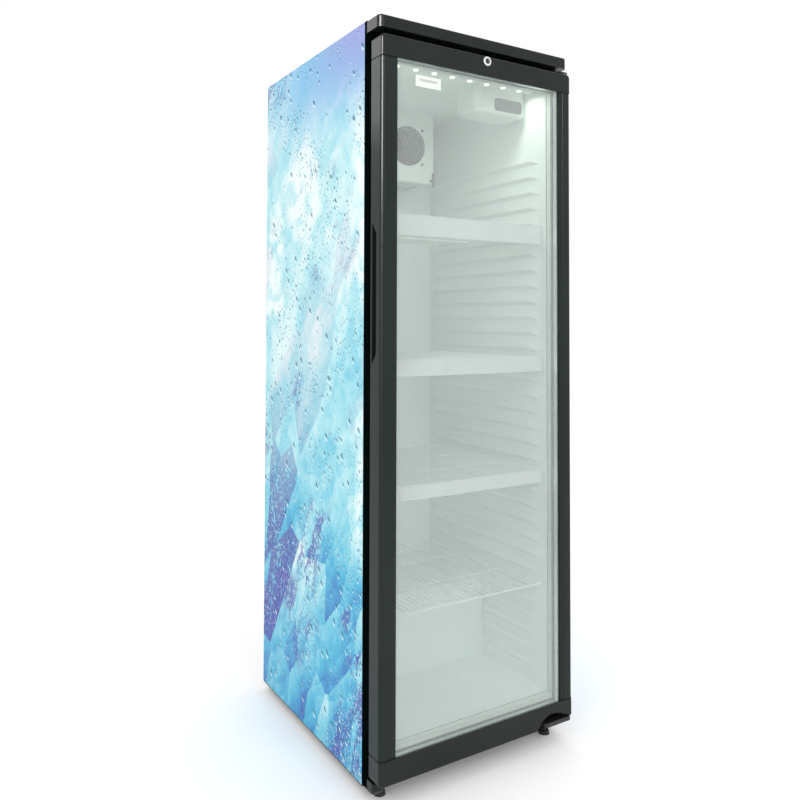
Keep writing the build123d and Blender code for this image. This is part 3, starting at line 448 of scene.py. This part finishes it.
def white_wire():
    """White epoxy on welded wire."""
    skin = Surface("wire_white", roughness=0.3, specular_ior_level=0.3)
    place = skin.place()
    skin.tint(skin.noise(place, 50.0, 3.0), (0.82, 0.86, 0.84), (0.92, 0.94, 0.92))
    skin.bump(skin.noise(place, 420.0, 2.0), 0.1, 0.0004)
    return skin


def ticket_plastic():
    """Glossy white price strip with a faint milky depth."""
    skin = Surface("ticket_white", roughness=0.25, specular_ior_level=0.15)
    place = skin.place()
    skin.tint(skin.noise(place, 25.0, 3.0), (0.68, 0.70, 0.70), (0.74, 0.76, 0.76))
    skin.set("Roughness", skin.span(skin.noise(place, 80.0, 4.0), 0.3, 0.7, 0.2, 0.34))
    return skin


def dark_window():
    """Smoked window of the controller."""
    skin = Surface("smoked_window", roughness=0.2, specular_ior_level=0.2)
    place = skin.place()
    skin.tint(skin.noise(place, 40.0, 3.0), (0.012, 0.013, 0.011), (0.022, 0.024, 0.020))
    skin.set("Roughness", skin.span(skin.noise(place, 90.0, 3.0), 0.3, 0.7, 0.16, 0.28))
    return skin


def lamp_lens():
    """Lit lamp lens of a soft yellowish white."""
    skin = Surface("lamp_lens", roughness=0.3)
    place = skin.place()
    glow = skin.ramp(skin.noise(place, 300.0, 2.0), [(0.3, (0.93, 1.0, 0.74)), (0.7, (1.0, 1.0, 0.82))])
    skin.set("Base Color", glow)
    skin.set("Emission Color", glow)
    skin.set("Emission Strength", LENS_GLOW)
    return skin


def clear_glass(name, haze):
    """Pane that lets lamp light through, with a faint even bloom on it."""
    skin = Surface(name, roughness=0.0, transmission_weight=1.0, ior=1.45)
    skin.set("Base Color", (0.97, 0.99, 0.98, 1.0))
    bloom = skin.span(skin.noise(skin.place(), 3.0, 2.0), 0.3, 0.7, 0.85 * haze, 1.15 * haze)
    see = skin.add("BsdfTransparent", {"Color": (0.96, 0.985, 0.975, 1.0)})
    shadow = skin.add("LightPath", output="Is Shadow Ray")
    pane = skin.add("MixShader", {0: shadow, 1: skin.shader.outputs[0], 2: see})
    veil = skin.add("BsdfDiffuse", {"Color": (0.87, 0.94, 0.915, 1.0), "Roughness": 0.5})
    whole = skin.add("MixShader", {0: bloom, 1: pane, 2: veil})
    skin.tree.links.new(whole, skin.output.inputs["Surface"])
    return skin


def light_rubber():
    """Pale grey soft rubber of the door's seal."""
    skin = Surface("seal_grey", roughness=0.55)
    place = skin.place()
    skin.tint(skin.noise(place, 30.0, 4.0), (0.60, 0.65, 0.61), (0.70, 0.74, 0.70))
    skin.set("Roughness", skin.span(skin.noise(place, 120.0, 4.0), 0.3, 0.7, 0.5, 0.65))
    skin.bump(skin.noise(place, 900.0, 2.0), 0.05, 0.0002)
    return skin


def foam():
    """Cut insulation foam."""
    skin = Surface("foam", roughness=0.9)
    place = skin.place()
    skin.tint(skin.cells(place, 500.0), (0.60, 0.50, 0.26), (0.80, 0.70, 0.42), 0.1, 0.6)
    skin.bump(skin.cells(place, 500.0), 0.4, 0.001)
    return skin


def label_face():
    """Pale label with one plain printed bar."""
    skin = Surface("label_face", roughness=0.4, specular_ior_level=0.2)
    place = skin.place()
    x, _, z = skin.parts(place)
    paper = skin.ramp(skin.noise(place, 60.0, 3.0), [(0.3, (0.66, 0.71, 0.66)), (0.7, (0.72, 0.76, 0.71))])
    across = skin.math("ABSOLUTE", skin.math("SUBTRACT", x, LABEL_MIDDLE[0]))
    up = skin.math("ABSOLUTE", skin.math("SUBTRACT", z, LABEL_MIDDLE[1] + LABEL_BAR_RISE))
    limits = [(half + edge, half - edge) for half, edge in zip(LABEL_BAR, LABEL_BAR_EDGE)]
    bar = skin.math("MULTIPLY", skin.span(across, *limits[0]), skin.span(up, *limits[1]))
    inked = skin.math("MULTIPLY", bar, LABEL_BAR_INK)
    skin.set("Base Color", skin.mix(inked, paper, (0.30, 0.33, 0.31)))
    return skin


def paint_everything():
    moulded_black().cover("top_cap", "base_corner", "door_top_cap", "door_bottom_cap")
    # The front frame is black plastic, darkened further as painted shade for the gap beside the door.
    black_frame_with_gap_shade().cover("front_frame")
    painted_stile().cover("door_stile_left", "door_stile_right")
    ice_film().cover("wrap_left", "wrap_right")
    white_liner().cover("inner_liner")
    moulding = white_moulding()
    moulding.cover("evaporator_cover", "controller_housing", "led_housing", "drip_tray", "drain_tube")
    white_low, white_high = (0.78, 0.80, 0.80), (0.84, 0.85, 0.85)
    painted = steel_sheet("painted_white", white_low, white_high, (0.32, 0.42, 0.0), (3, 3, 40))
    painted.cover("side_panel_left", "side_panel_right", "top_panel")
    zinc = steel_sheet("zinc_sheet", (0.42, 0.44, 0.46), (0.66, 0.68, 0.69), (0.32, 0.48, 1.0), (4, 4, 60))
    zinc.cover("back_panel", "rear_grille")
    bright_metal("plated_metal", (0.72, 0.73, 0.73), (0.86, 0.86, 0.85)).cover("foot_bushes", "lock_body")
    bright_metal("lock_core_metal", (0.10, 0.10, 0.10), (0.16, 0.16, 0.16)).cover("lock_cylinder")
    fins = fin_metal("fin_aluminium", (0.62, 0.64, 0.65), (0.80, 0.81, 0.82))
    fins.cover("evaporator_coil", "condenser_coil")
    fin_metal("spacer_aluminium", (0.84, 0.90, 0.88), (0.93, 0.96, 0.95)).cover("glass_spacer")
    copper_pipe().cover("filter_drier", "refrigerant_pipes")
    plastic = matt_black("black_plastic", (0.016, 0.017, 0.018), 0.5)
    plastic.cover("evaporator_fan_frame", "evaporator_fan_rotor", "hinge_bushes")
    plastic.cover("condenser_fan_frame", "condenser_fan_rotor", "condensate_tray", "cord_gland")
    plastic.cover("temperature_probe")
    matt_black("guard_plastic", (0.008, 0.010, 0.009), 0.7).cover("evaporator_fan_guard")
    feet = ["levelling_foot_%d" % number for number in range(1, 5)]
    matt_black("black_rubber", (0.012, 0.012, 0.012), 0.65).cover("compressor_mounts", *feet)
    light_rubber().cover("door_gasket")
    enamel = matt_black("black_enamel", (0.008, 0.008, 0.008), 0.35)
    enamel.cover("compressor", "base_plate", "screws")
    enamel.cover("top_hinge_bracket", "bottom_hinge_bracket", "lock_keeper")
    white_wire().cover("shelf_1", "shelf_2", "shelf_3", "shelf_4")
    ticket_plastic().cover("ticket_strips")
    dark_window().cover("controller_display")
    lamp_lens().cover("led_lenses")
    foam().cover("foam_insulation")
    clear_glass("glass_front", HAZE_FRONT).cover("glass_outer")
    clear_glass("glass_rear", HAZE_REAR).cover("glass_inner")


def soften(name, width, segments):
    """Round the sharp edges of a CAD node a little."""
    bevel = NODES[name].modifiers.new("softened_edges", "BEVEL")
    bevel.width = width
    bevel.segments = segments
    bevel.limit_method = "ANGLE"
    bevel.angle_limit = math.radians(25)


# Fine pieces ------------------------------------------------------------------------------------

def new_piece(name, mesh, body):
    """Link a bmesh as a piece that rides on a CAD body."""
    data = bpy.data.meshes.new(name)
    mesh.to_mesh(data)
    mesh.free()
    piece = bpy.data.objects.new(name, data)
    bpy.context.scene.collection.objects.link(piece)
    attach(piece, body)


def glass_label():
    """Thin label stuck to the upper left of the glass."""
    reach_x, reach_z = [size / 2 - LABEL_CORNER for size in LABEL_SIZE]
    middle = Vector((LABEL_MIDDLE[0], GLASS_FRONT - LABEL_THICK, LABEL_MIDDLE[1]))
    mesh = bmesh.new()
    ring = []
    for sign_x, sign_z, start in ((1, 1, 0), (-1, 1, 90), (-1, -1, 180), (1, -1, 270)):
        for step in range(5):
            angle = math.radians(start + step * 22.5)
            x = sign_x * reach_x + LABEL_CORNER * math.cos(angle)
            z = sign_z * reach_z + LABEL_CORNER * math.sin(angle)
            ring.append(mesh.verts.new(middle + Vector((x, 0, z))))
    face = mesh.faces.new(ring)
    extruded = bmesh.ops.extrude_face_region(mesh, geom=[face])
    moved = [item for item in extruded["geom"] if isinstance(item, bmesh.types.BMVert)]
    bmesh.ops.translate(mesh, verts=moved, vec=(0, LABEL_THICK, 0))
    bmesh.ops.recalc_face_normals(mesh, faces=mesh.faces)
    new_piece("glass_label", mesh, "door")
    label_face().cover("glass_label")


# Stage --------------------------------------------------------------------------------------------

def camera():
    """Camera to the left of the door, level with the middle shelves."""
    data = bpy.data.cameras.new("camera")
    data.sensor_width = CAMERA_SENSOR
    data.lens = CAMERA_LENS
    data.shift_x, data.shift_y = CAMERA_SHIFT
    item = bpy.data.objects.new("camera", data)
    yaw, pitch, roll = [math.radians(angle) for angle in (CAMERA_YAW, CAMERA_PITCH, CAMERA_ROLL)]
    turn = Matrix.Rotation(-yaw, 4, "Z") @ Matrix.Rotation(math.pi / 2 + pitch, 4, "X")
    turn = turn @ Matrix.Rotation(roll, 4, "Z")
    item.matrix_world = Matrix.Translation(CAMERA_PLACE) @ turn
    bpy.context.scene.collection.objects.link(item)
    bpy.context.scene.camera = item


def soft_light(name, place, towards, size, power, colour=(1, 1, 1)):
    data = bpy.data.lights.new(name, "AREA")
    data.shape = "RECTANGLE"
    data.size, data.size_y = size
    data.energy = power
    data.color = colour
    item = bpy.data.objects.new(name, data)
    item.location = place
    item.rotation_euler = (Vector(towards) - Vector(place)).to_track_quat("-Z", "Y").to_euler()
    bpy.context.scene.collection.objects.link(item)
    return item


def light_group(name, members):
    """Collection of CAD nodes that a light is linked to."""
    group = bpy.data.collections.new(name)
    for member in members:
        group.objects.link(NODES[member])
    return group


def studio():
    """Pale floor, even white surroundings and soft boxes."""
    mesh = bmesh.new()
    bmesh.ops.create_grid(mesh, x_segments=1, y_segments=1, size=FLOOR_HALF)
    data = bpy.data.meshes.new("floor")
    mesh.to_mesh(data)
    mesh.free()
    floor = bpy.data.objects.new("floor", data)
    bpy.context.scene.collection.objects.link(floor)
    paper = Surface("floor_paper", roughness=0.7)
    paper.tint(paper.noise(paper.place(), 3.0), (0.95, 0.95, 0.95), (0.965, 0.965, 0.965))
    paper.set("Emission Color", (1.0, 1.0, 1.0, 1.0))
    paper.set("Emission Strength", FLOOR_GLOW)
    paper.cover("floor")
    world = bpy.data.worlds.new("surroundings")
    world.use_nodes = True
    sky = next(node for node in world.node_tree.nodes if node.type == "BACKGROUND")
    sky.inputs["Color"].default_value = (1.0, 1.0, 1.0, 1.0)
    sky.inputs["Strength"].default_value = 1.0
    bpy.context.scene.world = world
    soft_light("key", *KEY)
    dark_shell = light_group("dark_shell", LIT_BY_EDGE_BOXES)
    for name, setting in EDGE_BOXES.items():
        box = soft_light(name, *setting)
        box.light_linking.receiver_collection = dark_shell
        box.visible_diffuse = False
    soft_light("fill", *FILL)
    bar = soft_light("lamp_bar_light", *LAMP_BAR, LAMP_BAR_COLOUR)
    bar.visible_camera = False
    bar.visible_glossy = False
    bar.visible_transmission = False
    shaded = light_group("shaded_from_lamp_bar", SHADED_FROM_LAMP_BAR)
    bar.light_linking.receiver_collection = shaded
    for item in shaded.collection_objects:
        item.light_linking.link_state = "EXCLUDE"
    bpy.context.scene.view_settings.view_transform = "Standard"


paint_everything()
soften("inner_liner", LINER_ROUND, 3)
glass_label()
camera()
studio()
